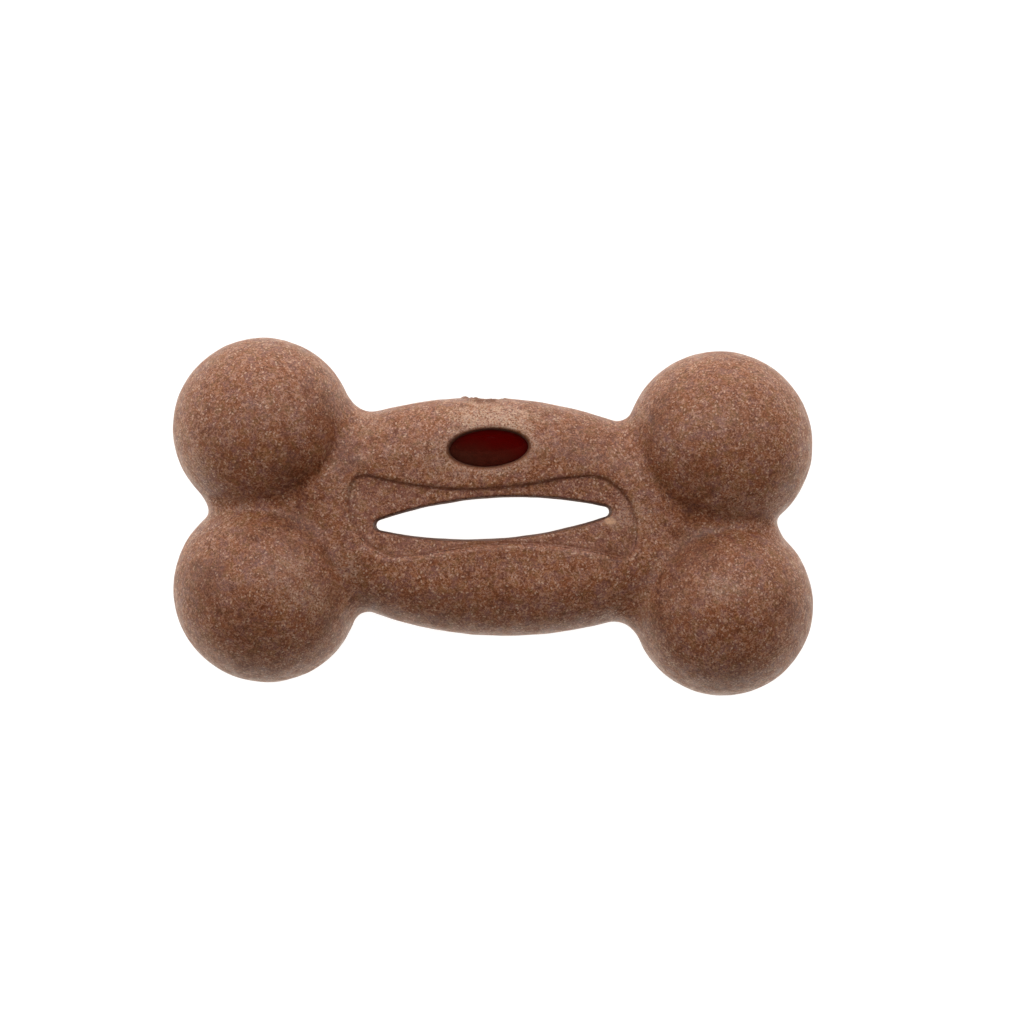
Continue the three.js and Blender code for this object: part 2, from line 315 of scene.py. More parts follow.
def barrel_distance(x, y, z):
    arc_y = BARREL_SIDE_RADIUS - BARREL_HALF_WIDTH
    upper = np.hypot(x - BARREL_CREST_X, y + arc_y) - BARREL_SIDE_RADIUS
    lower = np.hypot(x + BARREL_CREST_X, y - arc_y) - BARREL_SIDE_RADIUS
    plan = np.maximum(np.maximum(upper, lower), np.abs(x) - BARREL_HALF_LENGTH)
    from_flat = np.maximum(plan + BARREL_HALF_THICKNESS, 0)
    return np.hypot(from_flat, z) - BARREL_HALF_THICKNESS


def skin_distance(x, y, z):
    small = knob_distance(SMALL_KNOBS, x, y, z)
    large = knob_distance(LARGE_KNOBS, x, y, z)
    shapes = [small, large, barrel_distance(x, y, z)]
    to_small = smoothstep(-FILLET_CHANGE_WIDTH / 2, FILLET_CHANGE_WIDTH / 2, large - small)
    side_fillet = lerp(LARGE_KNOB_FILLET, SMALL_KNOB_FILLET, to_small)
    to_face = smoothstep(CREASE_START_HEIGHT, CREASE_FULL_HEIGHT, np.abs(z))
    fillet = lerp(side_fillet, CREASE_FILLET, to_face)
    reach = np.sqrt(sum(np.maximum(fillet - shape, 0) ** 2 for shape in shapes))
    return np.maximum(fillet, np.minimum.reduce(shapes)) - reach


SLOT_MIDDLE = np.array([0.0, SLOT_SHIFT_Y])
SLOT_ALONG = np.array([math.cos(SLOT_TILT), math.sin(SLOT_TILT)])
SLOT_ACROSS = np.array([-math.sin(SLOT_TILT), math.cos(SLOT_TILT)])


def slot_distance(points):
    along = np.abs((points - SLOT_MIDDLE) @ SLOT_ALONG)
    across = np.abs((points - SLOT_MIDDLE) @ SLOT_ACROSS)
    tip_x = SLOT_LENGTH / 2 - SLOT_TIP_RADIUS
    bulge = SLOT_WIDTH / 2 - SLOT_TIP_RADIUS
    arc_radius = (tip_x ** 2 + bulge ** 2) / (2 * bulge)
    arc_y = arc_radius - bulge
    past_tip = (across + arc_y) * tip_x < along * arc_y
    to_side = np.hypot(along, across + arc_y) - arc_radius
    to_tip = np.hypot(along - tip_x, across)
    return np.where(past_tip, to_tip, to_side) - SLOT_TIP_RADIUS


def recess_distance(points):
    x, y = points[..., 0], points[..., 1]
    end = np.array([SLOT_LENGTH / 2 + RECESS_END_LAND - RECESS_END_RADIUS, -RECESS_END_DROP])
    share = np.clip(points @ end / (end @ end), -1, 1)
    panel = np.linalg.norm(points - share[..., None] * end, axis=-1) - RECESS_END_RADIUS
    arc_y = SLOT_WIDTH / 2 + RECESS_WAIST_LAND + RECESS_WAIST_RADIUS
    upper = RECESS_WAIST_RADIUS - np.hypot(x - RECESS_WAIST_X, y - arc_y)
    lower = RECESS_WAIST_RADIUS - np.hypot(x + RECESS_WAIST_X, y + arc_y)
    waist = np.maximum(upper, lower)
    over_panel = np.maximum(panel + RECESS_CORNER_RADIUS, 0)
    over_waist = np.maximum(waist + RECESS_CORNER_RADIUS, 0)
    inside = np.minimum(np.maximum(panel, waist), -RECESS_CORNER_RADIUS)
    return np.hypot(over_panel, over_waist) + inside


def crossing(rising, low, high):
    """The zero of a rising function between two limits, for whole arrays at once."""
    for _ in range(BISECTIONS):
        middle = (low + high) / 2
        inside = rising(middle) < 0
        low = np.where(inside, middle, low)
        high = np.where(inside, high, middle)
    return (low + high) / 2


def skin_height(points):
    top = np.full(points.shape[:-1], 2 * KNOB_HALF_HEIGHT)
    return crossing(lambda z: skin_distance(points[..., 0], points[..., 1], z), 0 * top, top)


# Stations: points on a spine in the slot, each with a direction away from it
def stations_through(points):
    along = np.clip((points - SLOT_MIDDLE) @ SLOT_ALONG, -SPINE_HALF, SPINE_HALF)
    base = SLOT_MIDDLE + along[:, None] * SLOT_ALONG
    away = points - base
    return base, away / np.linalg.norm(away, axis=1, keepdims=True)


def reach_of(base, away, distance):
    far = np.full(len(base), SMALL_KNOB_X + SMALL_KNOB_RADIUS)
    return crossing(lambda reach: distance(base + reach[:, None] * away), 0 * far, far)


def edge_distance(points):
    return skin_distance(points[..., 0], points[..., 1], 0.0)


def spread_stations():
    """Stations spread along the bone's outline, evenly but for a crowd of them at the gate."""
    angle = np.linspace(0, 2 * math.pi, TRACE_STATIONS, endpoint=False)[:, None]
    start = SLOT_MIDDLE + SPINE_HALF * (2 * np.cos(angle) * SLOT_ALONG + np.sin(angle) * SLOT_ACROSS)
    base, away = stations_through(start)
    edge = base + reach_of(base, away, edge_distance)[:, None] * away
    loop = np.vstack([edge, edge[:1]])
    from_gate = np.hypot(edge[:, 0] - GATE_X, edge[:, 1] - GATE_FACE_Y)
    crowding = 1 + GATE_CROWDING * np.exp(-(from_gate / GATE_CROWD_REACH) ** 2)
    steps = np.linalg.norm(np.diff(loop, axis=0), axis=1) * crowding
    length = np.concatenate([[0], np.cumsum(steps)])
    even = np.linspace(0, length[-1], STATIONS, endpoint=False)
    spread = np.stack([np.interp(even, length, loop[:, k]) for k in (0, 1)], axis=1)
    return stations_through(spread)


def soft_corner(before, corner, after, rounding):
    """Points that turn from one straight run into the next at a corner, each a (reach, height) pair."""
    def towards(other):
        run = other - corner
        return corner + run * (rounding / np.linalg.norm(run, axis=-1, keepdims=True))

    start, end = towards(before), towards(after)
    rows = []
    for share in np.linspace(0, 1, CORNER_ROWS):
        rows.append((1 - share) ** 2 * start + 2 * share * (1 - share) * corner + share ** 2 * end)
    return rows


def dome_creases(base, away):
    """Where each station's line runs onto a knob's dome, with a strength that falls to 0 for a miss."""
    creases = []
    for knob_x, knob_y, radius in SMALL_KNOBS + LARGE_KNOBS:
        to_knob = np.array([knob_x, knob_y]) - base
        ahead = np.sum(to_knob * away, axis=1)
        aside = np.abs(to_knob[:, 0] * away[:, 1] - to_knob[:, 1] * away[:, 0])
        dome = radius * DOME_SHARE
        reach = ahead - np.sqrt(np.maximum(dome ** 2 - aside ** 2, 0))
        passing = smoothstep(dome, CREASE_PASSING_SHARE * dome, aside)
        creases.append((reach, np.where(ahead > 0, 1 - passing, 0)))
    return creases


def skin_reaches(base, away, edge, rim):
    """Reaches of the rows over the skin, closest together at the edge and in the creases."""
    creases = dome_creases(base, away)

    def rows_before(share):
        rows = share ** (1 / SKIN_ROW_BUNCHING)
        for reach, strength in creases:
            past = np.arctan((reach - lerp(edge, rim, share)) / CREASE_CROWD_SPREAD)
            rows = rows + CREASE_CROWDING * strength * past
        return rows

    reaches = [edge]
    nothing, everything = np.zeros(len(base)), np.ones(len(base))
    for step in np.linspace(0, 1, SKIN_ROWS, endpoint=False)[1:]:
        wanted = lerp(rows_before(nothing), rows_before(everything), step)
        share = crossing(lambda inward: rows_before(inward) - wanted, nothing, everything)
        reaches.append(lerp(edge, rim, share))
    return reaches


def body_rows(base, away):
    """Rows of points over the top half of the body, from its edge to the slot's throat."""
    edge = reach_of(base, away, edge_distance)
    rim = reach_of(base, away, recess_distance)
    throat = reach_of(base, away, slot_distance)
    mouth = throat + SLOT_DRAFT

    rim_height = skin_height(base + rim[:, None] * away)
    floor_height = rim_height - RECESS_DEPTH
    rim_corner = np.stack([rim, rim_height], axis=1)
    floor_corner = np.stack([rim - RECESS_WALL_RUN, floor_height], axis=1)
    mouth_corner = np.stack([mouth, floor_height - RECESS_DISH], axis=1)
    throat_edge = np.stack([throat, 0 * throat], axis=1)

    rows = []
    skin_end = rim + RECESS_RIM_ROUND
    for reach in skin_reaches(base, away, edge, skin_end):
        rows.append(np.stack([reach, skin_height(base + reach[:, None] * away)], axis=1))
    rows[0][:, 1] = 0
    on_skin = np.stack([skin_end, skin_height(base + skin_end[:, None] * away)], axis=1)
    rows += soft_corner(on_skin, rim_corner, floor_corner, RECESS_RIM_ROUND)
    rows += soft_corner(rim_corner, floor_corner, mouth_corner, RECESS_FLOOR_ROUND)
    mouth_round = soft_corner(floor_corner, mouth_corner, throat_edge, SLOT_MOUTH_ROUND)
    for step in np.linspace(0, 1, FLOOR_ROWS + 1, endpoint=False)[1:]:
        rows.append(lerp(rows[SKIN_ROWS + 2 * CORNER_ROWS - 1], mouth_round[0], step))
    rows += mouth_round
    for step in np.linspace(0, 1, SLOT_WALL_ROWS + 1)[1:]:
        rows.append(lerp(mouth_round[-1], throat_edge, step))

    points = []
    for row in rows:
        plan = base + row[:, :1] * away
        points.append(np.column_stack([plan, row[:, 1]]))
    return np.array(points)


def mirrored(rows):
    """Rows over the top joined to their mirror image underneath, sharing the last row."""
    under = rows[:-1][::-1] * np.array([1, 1, -1])
    return np.concatenate([rows, under])


def ring_faces(first, second):
    """Quads between two closed rings of vertex numbers."""
    return np.stack([first, np.roll(first, -1), np.roll(second, -1), second], axis=1)


# Window and seat
WINDOW_MIDDLE = np.array([CORE_X, WINDOW_Y])
SEAT_MIDDLE = np.array([CORE_X, CORE_Y])
SEAT_STRAIGHT = CORE_LENGTH / 2 - CORE_RADIUS


def window_rows(border):
    """Rows of points from a border on the skin to the window, down its wall and into the core's seat."""
    local = np.stack([(border - WINDOW_MIDDLE) @ SLOT_ALONG, (border - WINDOW_MIDDLE) @ SLOT_ACROSS], axis=1)
    half = np.array([WINDOW_LENGTH, WINDOW_WIDTH]) / 2
    angle = np.arctan2(local[:, 1] / half[1], local[:, 0] / half[0])
    turn = np.stack([np.cos(angle), np.sin(angle)], axis=1)
    outward = turn / half
    outward /= np.linalg.norm(outward, axis=1, keepdims=True)

    def plan(offset):
        oval = turn * half + outward * offset
        return WINDOW_MIDDLE + oval[:, :1] * SLOT_ALONG + oval[:, 1:] * SLOT_ACROSS

    points = []
    skin_end = plan(WINDOW_RIM_ROUND)
    for step in np.linspace(0, 1, WINDOW_SKIN_ROWS + 1, endpoint=False)[1:]:
        spot = lerp(border, skin_end, step)
        points.append(np.column_stack([spot, skin_height(spot)]))

    rim_height = skin_height(plan(0))
    foot = plan(-WINDOW_DRAFT)
    foot_height = seat_height(foot)
    on_skin = np.stack([0 * rim_height + WINDOW_RIM_ROUND, skin_height(skin_end)], axis=1)
    rim_corner = np.stack([0 * rim_height, rim_height], axis=1)
    wall_foot = np.stack([0 * rim_height - WINDOW_DRAFT, foot_height], axis=1)
    rim_round = soft_corner(on_skin, rim_corner, wall_foot, WINDOW_RIM_ROUND)
    wall = list(rim_round)
    for step in np.linspace(0, 1, WINDOW_WALL_ROWS + 1)[1:]:
        wall.append(lerp(rim_round[-1], wall_foot, step))
    for row in wall:
        points.append(np.column_stack([plan(row[:, :1]), row[:, 1]]))

    seat_edge = seat_outline(foot)
    for step in np.linspace(0, 1, SEAT_ROWS + 1)[1:]:
        spot = lerp(foot, seat_edge, math.sin(step * math.pi / 2))
        points.append(np.column_stack([spot, seat_height(spot)]))
    points[-1][:, 2] = 0
    return np.array(points)


def seat_offset(points):
    """How far plan points lie from the seat's straight middle."""
    along = np.clip((points - SEAT_MIDDLE) @ SLOT_ALONG, -SEAT_STRAIGHT, SEAT_STRAIGHT)
    nearest = SEAT_MIDDLE + along[:, None] * SLOT_ALONG
    return np.linalg.norm(points - nearest, axis=1)


def seat_height(points):
    return np.sqrt(np.maximum(SEAT_RADIUS ** 2 - seat_offset(points) ** 2, 0))


def seat_outline(points):
    away = points - WINDOW_MIDDLE
    away = away / np.linalg.norm(away, axis=1, keepdims=True)
    base = np.repeat(WINDOW_MIDDLE[None], len(points), axis=0)
    return base + reach_of(base, away, lambda spot: seat_offset(spot) - SEAT_RADIUS)[:, None] * away


# Body, with the unevenness of its skin
def wave_noise(points, wavelength, seed):
    """Smooth noise of about unit size: plane waves of about one length in seeded directions."""
    rng = np.random.default_rng(seed)
    direction = rng.normal(size=(WAVE_COUNT, 3))
    direction *= 2 * math.pi / wavelength / np.linalg.norm(direction, axis=1, keepdims=True)
    direction *= rng.uniform(SLOWEST_WAVE, FASTEST_WAVE, (WAVE_COUNT, 1))
    phase = rng.uniform(0, 2 * math.pi, WAVE_COUNT)
    total = np.zeros(len(points))
    for wave, start in zip(direction, phase):
        total += np.sin(points @ wave + start)
    return total / math.sqrt(WAVE_COUNT / 2)


def gate_scar(points):
    """Cuts the gate's face into the upper edge and leaves a torn burr round it."""
    from_gate = np.hypot(points[:, 0] - GATE_X, points[:, 2])
    near = points[:, 1] > BARREL_HALF_WIDTH / 2
    face = GATE_FACE_Y + GATE_FACE_ROUGHNESS * wave_noise(points, GATE_FACE_GRAIN_LENGTH, seed=11)
    on_face = smoothstep(GATE_RADIUS + GATE_FACE_FADE, GATE_RADIUS - GATE_FACE_FADE, from_gate) * near
    ring = np.exp(-((from_gate - GATE_RADIUS) / GATE_BURR_WIDTH) ** 2) * near
    torn = GATE_BURR_MEAN + GATE_BURR_SPREAD * wave_noise(points, GATE_BURR_TEAR_LENGTH, seed=12)
    torn = np.clip(torn, 0, GATE_BURR_MOST)
    leftward = smoothstep(GATE_BURR_LOW_X, GATE_BURR_HIGH_X, points[:, 0])
    moved = points.copy()
    moved[:, 1] = lerp(points[:, 1], face, on_face)
    moved[:, 1] += GATE_BURR * ring * torn * lerp(GATE_BURR_RIGHT_SHARE, 1.0, leftward)
    return moved


def body_mesh():
    base, away = spread_stations()
    top = body_rows(base, away)
    rows = mirrored(top)[:-1]
    row_count, station_count = rows.shape[:2]
    numbers = np.arange(row_count * station_count).reshape(row_count, station_count)
    points = rows.reshape(-1, 3)

    # Cells round each window make way for rings that follow its oval.
    along = (base - WINDOW_MIDDLE) @ SLOT_ALONG
    beside = np.abs(along) < WINDOW_LENGTH / 2 + WINDOW_STATION_MARGIN
    stations = np.flatnonzero(beside & (away @ SLOT_ACROSS > WINDOW_STATION_COSINE))
    stations = stations[np.argsort(along[stations])]
    middle_station = stations[len(stations) // 2]
    across = (rows[:SKIN_ROWS, middle_station, :2] - WINDOW_MIDDLE) @ SLOT_ACROSS
    kept_rows = np.flatnonzero(np.abs(across) < WINDOW_WIDTH / 2 + WINDOW_MARGIN)
    first, last = kept_rows[0], kept_rows[-1]

    removed = np.zeros((row_count, station_count), bool)
    ordered = np.sort(stations)
    removed[first:last, ordered[:-1]] = True
    mirror_first = row_count - last
    mirror_last = row_count - first
    removed[mirror_first:mirror_last, ordered[:-1]] = True

    faces = []
    for row in range(row_count):
        quads = ring_faces(numbers[row], numbers[(row + 1) % row_count])
        faces.append(quads[~removed[row]])

    def border(near_row, far_row):
        right, left = ordered[0], ordered[-1]
        return np.concatenate([
            numbers[near_row, ordered],
            numbers[near_row + 1:far_row, left],
            numbers[far_row, ordered[::-1]],
            numbers[near_row + 1:far_row, right][::-1],
        ])

    upper = border(first, last)
    lower_rows = (row_count - np.arange(row_count)) % row_count
    mirror_of = numbers[lower_rows].reshape(-1)
    lower = mirror_of[upper]

    inner_top = window_rows(points[upper, :2])
    inner = mirrored(inner_top)
    inner_numbers = len(points) + np.arange(inner.shape[0] * inner.shape[1]).reshape(inner.shape[:2])
    ring_numbers = np.vstack([upper[None], inner_numbers, lower[None]])
    for outer_ring, inner_ring in zip(ring_numbers[:-1], ring_numbers[1:]):
        faces.append(ring_faces(outer_ring, inner_ring))

    points = np.vstack([points, inner.reshape(-1, 3)])
    used, faces = np.unique(np.concatenate(faces), return_inverse=True)
    return points[used], faces.reshape(-1, 4)


def vertex_normals(points, faces):
    across = np.cross(points[faces[:, 2]] - points[faces[:, 0]], points[faces[:, 3]] - points[faces[:, 1]])
    total = np.zeros_like(points)
    for corner in range(4):
        np.add.at(total, faces[:, corner], across)
    return total / np.maximum(np.linalg.norm(total, axis=1, keepdims=True), SMALLEST_NORMAL)


def fold_band(points, radius):
    """A wavering band on top of the folded knob, about a radius from its middle."""
    from_knob = points[:, :2] - FOLDED_KNOB[:2]
    waver = FOLD_WAVER * wave_noise(points, FOLD_WAVER_LENGTH, seed=23)
    from_line = np.linalg.norm(from_knob, axis=1) - radius - waver
    turn = np.abs(np.arctan2(from_knob[:, 1], from_knob[:, 0]) - FOLD_ANGLE)
    on_top = smoothstep(FOLD_HALF_SPAN, FOLD_HALF_SPAN / 2, turn) * (points[:, 2] > 0)
    return on_top * np.exp(-(from_line / FOLD_WIDTH) ** 2)


def relief(points, faces):
    """The uneven skin of the moulding, its parting line, the gate's scar and the flats that it rests on."""
    normals = vertex_normals(points, faces)
    outer = smoothstep(PARTING_START_LAND, PARTING_FULL_LAND, slot_distance(points[:, :2]))
    parting = PARTING_RIDGE * np.exp(-(points[:, 2] / PARTING_WIDTH) ** 2) * outer
    uneven = SKIN_SWELL * wave_noise(points, SKIN_SWELL_LENGTH, seed=21)
    grainy = SKIN_GRAIN * wave_noise(points, SKIN_GRAIN_LENGTH, seed=22)
    folded = FOLD_HEIGHT * fold_band(points, FOLD_RADIUS)
    moved = gate_scar(points + normals * (parting + uneven + grainy + folded)[:, None])
    moved[:, 2] = np.maximum(moved[:, 2], -MID_HEIGHT)
    return moved


def pill_mesh():
    """The core: a capsule lying along the slot's tilt, with a faint moulding ridge round its middle."""
    turn = np.linspace(0, math.pi / 2, CORE_CAP_ROWS + 1)[1:]
    run = np.linspace(SEAT_STRAIGHT, -SEAT_STRAIGHT, CORE_STRAIGHT_ROWS + 1)[1:-1]
    cap_along = SEAT_STRAIGHT + CORE_RADIUS * np.cos(turn)
    cap_radius = CORE_RADIUS * np.sin(turn)
    along = np.concatenate([cap_along, run, -cap_along[::-1]])
    radius = np.concatenate([cap_radius, 0 * run + CORE_RADIUS, cap_radius[::-1]])
    side = np.linspace(0, 2 * math.pi, CORE_SIDES, endpoint=False)
    ridge = 1 + CORE_RIDGE / CORE_RADIUS * np.cos(side) ** CORE_RIDGE_SHARPNESS
    across = radius[:, None] * np.cos(side) * ridge
    height = radius[:, None] * np.sin(side) * ridge
    plan = SEAT_MIDDLE + along[:, None, None] * SLOT_ALONG + across[..., None] * SLOT_ACROSS
    rings = np.concatenate([plan, height[..., None]], axis=2)
    tips = []
    for end in (1, -1):
        tips.append([*(SEAT_MIDDLE + end * CORE_LENGTH / 2 * SLOT_ALONG), 0])
    points = np.vstack([rings.reshape(-1, 3), tips])
    numbers = np.arange(rings.shape[0] * CORE_SIDES).reshape(-1, CORE_SIDES)
    faces = []
    for first, second in zip(numbers[:-1], numbers[1:]):
        faces += ring_faces(second, first).tolist()
    for ring, tip, step in ((numbers[0], len(points) - 2, 1), (numbers[-1], len(points) - 1, -1)):
        for here, following in zip(ring, np.roll(ring, -1)):
            faces.append([tip, *(here, following)[::step]])
    return points, faces


def make_object(name, points, faces):
    mesh = bpy.data.meshes.new(name)
    mesh.from_pydata(((points + [0, 0, MID_HEIGHT]) * MM).tolist(), [], faces)
    mesh.update()
    mesh.shade_smooth()
    made = bpy.data.objects.new(name, mesh)
    bpy.context.scene.collection.objects.link(made)
    return made


def store(thing, name, values):
    layer = thing.data.attributes.new(name, "FLOAT", "POINT")
    layer.data.foreach_set("value", values.astype(np.float32))


# Marks that the materials read, worked out from the shape
def pale_patch(points):
    """Fibres washed together by the gate, pale round the window's rim and in one knob's crease, and pale
    blotches, some of them a painted highlight.
    """
    local = points[:, :2] - [PATCH_X, PATCH_Y]
    ragged = 1 + PALE_RAGGEDNESS * wave_noise(points, PALE_RAG_LENGTH, seed=31)
    patch = np.hypot(local[:, 0] / PATCH_HALF_LENGTH, local[:, 1] / PATCH_HALF_WIDTH) * ragged
    from_window = oval_distance(points[:, :2]) * ragged
    in_crease = crease_band(points, PALE_CREASE_KNOB, CREASE_PALE_SHARE, CREASE_PALE_SPREAD) * ragged
    palest = np.maximum.reduce([
        smoothstep(PATCH_EDGE_SHARE, PATCH_FULL_SHARE, patch),
        RIM_DUST * smoothstep(RIM_DUST_REACH, RIM_DUST_FULL_REACH, from_window),
        CREASE_PALENESS * in_crease,
        blotches(points),
    ])
    on_top = smoothstep(-PALE_TOP_FADE, PALE_TOP_FADE, points[:, 2])
    return np.clip(palest, 0, 1) * on_top


def crease_shade_and_dark_blotches(points):
    """Painted shade in the knobs' creases towards the bone's middle and painted shadow under the fold, with
    the dark blotches.
    """
    in_crease = np.zeros(len(points))
    for knob in SMALL_KNOBS + LARGE_KNOBS:
        round_knob = np.zeros(len(points))
        for strength, share, spread in CREASE_SHADE_BANDS:
            round_knob += strength * crease_band(points, knob, share, spread)
        in_crease = np.maximum(in_crease, round_knob)
    ragged = 1 + CREASE_SHADE_RAGGEDNESS * wave_noise(points, CREASE_SHADE_RAG_LENGTH, seed=33)
    # Painted shadow under the fold's lip
    under_fold = FOLD_UNDER_SHADE * fold_band(points, FOLD_RADIUS - FOLD_WIDTH)
    return np.clip(in_crease * ragged, 0, 1) + under_fold + np.maximum(-blotches(points), 0)


def crease_band(points, knob, share, spread):
    """A band round a knob at a share of its radius, fading out away from the bone's middle."""
    *middle, radius = knob
    from_knob = points[:, :2] - middle
    away = np.linalg.norm(from_knob, axis=1)
    inward = -from_knob @ middle / np.linalg.norm(middle) / np.maximum(away, SMALLEST_DIVISOR)
    return np.exp(-((away / radius - share) / spread) ** 2) * smoothstep(0, BAND_FULL_INWARD, inward)


def blotches(points):
    """Pale and dark blotches with ragged edges, told apart by their sign: partly the fibre's own mottling,
    partly painted highlight and shade.
    """
    ragged = 1 + BLOTCH_RAGGEDNESS * wave_noise(points, BLOTCH_RAG_LENGTH, seed=32)
    total = np.zeros(len(points))
    for x, y, reach, strength in BLOTCHES:
        away = np.hypot(points[:, 0] - x, points[:, 1] - y) / reach * ragged
        total += strength * smoothstep(BLOTCH_EDGE_SHARE, BLOTCH_FULL_SHARE, away)
    return total


def oval_distance(points):
    """About how far plan points lie outside the window's oval."""
    local = (points - WINDOW_MIDDLE) @ np.stack([SLOT_ALONG, SLOT_ACROSS], axis=1)
    half = np.array([WINDOW_LENGTH, WINDOW_WIDTH]) / 2
    share = np.linalg.norm(local / half, axis=1)
    steepness = np.linalg.norm(local / half ** 2, axis=1) / np.maximum(share, SMALLEST_DIVISOR)
    return (share - 1) / np.maximum(steepness, SMALLEST_DIVISOR)


def near_face(points):
    """1 at the height of the barrel's faces, and 0 well below it."""
    return smoothstep(FACE_START_HEIGHT, FACE_FULL_HEIGHT, np.abs(points[:, 2]))


def painted_rim_shade(points):
    """Painted shade, rust-dark, where the skin turns over a rim: the recess wall, the window and the slot.
    """
    plan = points[:, :2]
    upper_side = smoothstep(LINE_LOWER_Y, LINE_UPPER_Y, points[:, 1])
    at_end = smoothstep(LINE_FADE_X, LINE_END_X, np.abs(points[:, 0]))
    from_line = recess_distance(plan) + lerp(LINE_LOWER_INSET, LINE_UPPER_INSET, upper_side)
    strength = lerp(LINE_LOWER_SHADE, LINE_UPPER_SHADE, upper_side) * lerp(1.0, LINE_END_SHARE, at_end)
    in_wall = strength * np.exp(-(from_line / LINE_WIDTH) ** 2) * near_face(points)
    window = WINDOW_SHADE * smoothstep(WINDOW_SHADE_REACH, WINDOW_SHADE_FULL_REACH, oval_distance(plan))
    slot = SLOT_SHADE * smoothstep(SLOT_SHADE_REACH, SLOT_SHADE_FULL_REACH, slot_distance(plan))
    return np.maximum.reduce([in_wall, window, slot])


def recess_floor(points):
    return smoothstep(0, -RECESS_WALL_RUN, recess_distance(points[:, :2])) * near_face(points)


def scar_mark(points):
    from_gate = np.hypot(points[:, 0] - GATE_X, points[:, 2]) / SCAR_RADIUS
    return smoothstep(SCAR_EDGE_SHARE, SCAR_FULL_SHARE, from_gate) * (points[:, 1] > SCAR_START_Y)


# Materials
class Shader:
    """Short calls that build one material's node tree."""

    def __init__(self, name):
        self.material = bpy.data.materials.new(name)
        self.material.use_nodes = True
        self.tree = self.material.node_tree
        self.tree.nodes.clear()

    def add(self, kind, inputs=None, **settings):
        made = self.tree.nodes.new(kind)
        for name, value in settings.items():
            setattr(made, name, value)
        for socket, value in (inputs or {}).items():
            if isinstance(value, bpy.types.NodeSocket):
                self.tree.links.new(value, made.inputs[socket])
            else:
                made.inputs[socket].default_value = value
        return made

    def place(self):
        return self.add("ShaderNodeTexCoord").outputs["Object"]

    def mark(self, name):
        return self.add("ShaderNodeAttribute", attribute_name=name).outputs["Fac"]

    def calc(self, operation, first, second=0.0):
        return self.add("ShaderNodeMath", {0: first, 1: second}, operation=operation).outputs[0]

    def noise(self, place, size, detail=2.0, roughness=0.5):
        """Noise with features of about the given size in millimetres."""
        inputs = {"Vector": place, "Scale": 1 / (size * MM), "Detail": detail, "Roughness": roughness}
        return self.add("ShaderNodeTexNoise", inputs).outputs["Fac"]

    def ramp(self, value, low, high, start=0.0, end=1.0):
        inputs = {"Value": value, "From Min": low, "From Max": high, "To Min": start, "To Max": end}
        return self.add("ShaderNodeMapRange", inputs, interpolation_type="SMOOTHSTEP").outputs["Result"]

    def blend(self, factor, first, second, blend_type="MIX"):
        inputs = {0: factor, 6: first, 7: second}
        return self.add("ShaderNodeMix", inputs, data_type="RGBA", blend_type=blend_type).outputs[2]

    def lay(self, over, share, strength, under):
        """One colour laid over another by a share, at most as strongly as told."""
        return self.blend(self.calc("MULTIPLY", share, strength), under, over)

    def shifted(self, place, seed):
        """The same place seen by a pattern that was moved, so that patterns don't repeat each other."""
        return self.vector("ADD", place, np.random.default_rng(seed).uniform(-1, 1, 3))

    def vector(self, operation, first, second=None):
        inputs = {0: first} if second is None else {0: first, 1: second}
        made = self.add("ShaderNodeVectorMath", inputs, operation=operation)
        return made.outputs["Value" if operation in ("DOT_PRODUCT", "LENGTH") else "Vector"]

    def chips(self, place, spacing, length, width, share):
        """Straight chips strewn through the solid: one in each cell, turned at random, some left out."""
        cells = self.add("ShaderNodeTexVoronoi", {"Vector": place, "Scale": 1 / (spacing * MM)})
        middle = cells.outputs["Position"]
        from_middle = self.vector("SUBTRACT", place, middle)
        turn = self.vector("NORMALIZE", self.vector("SUBTRACT", cells.outputs["Color"], (0.5, 0.5, 0.5)))
        along = self.vector("DOT_PRODUCT", from_middle, turn)
        lengthwise = self.add("ShaderNodeVectorMath", {0: turn, "Scale": along}, operation="SCALE")
        crosswise = self.vector("SUBTRACT", from_middle, lengthwise.outputs["Vector"])
        within_width = self.ramp(self.vector("LENGTH", crosswise), width / 2 * MM, width / 5 * MM)
        within_length = self.ramp(self.calc("ABSOLUTE", along), length / 2 * MM, length / 3 * MM)
        chance = self.add("ShaderNodeTexWhiteNoise", {"Vector": middle}, noise_dimensions="3D")
        kept = self.calc("LESS_THAN", chance.outputs["Value"], share)
        return self.calc("MULTIPLY", self.calc("MULTIPLY", within_width, within_length), kept)

    def hairs(self, place, size, width, seed, share):
        """Short curled hairs: level lines of a noise, broken up by a second one."""
        moved = self.shifted(place, seed)
        from_level = self.calc("SUBTRACT", self.noise(moved, size, detail=1.5), 0.5)
        line = self.ramp(self.calc("ABSOLUTE", from_level), width, 0.0)
        breaks = self.noise(self.shifted(moved, seed), HAIR_BREAK_SHARE * size, detail=0.0)
        kept = self.ramp(self.calc("ADD", breaks, share), HAIR_START, HAIR_FULL)
        return self.calc("MULTIPLY", line, kept)

    def finish(self, inputs):
        surface = self.add("ShaderNodeBsdfPrincipled", inputs)
        self.add("ShaderNodeOutputMaterial", {"Surface": surface.outputs["BSDF"]})
        return self.material


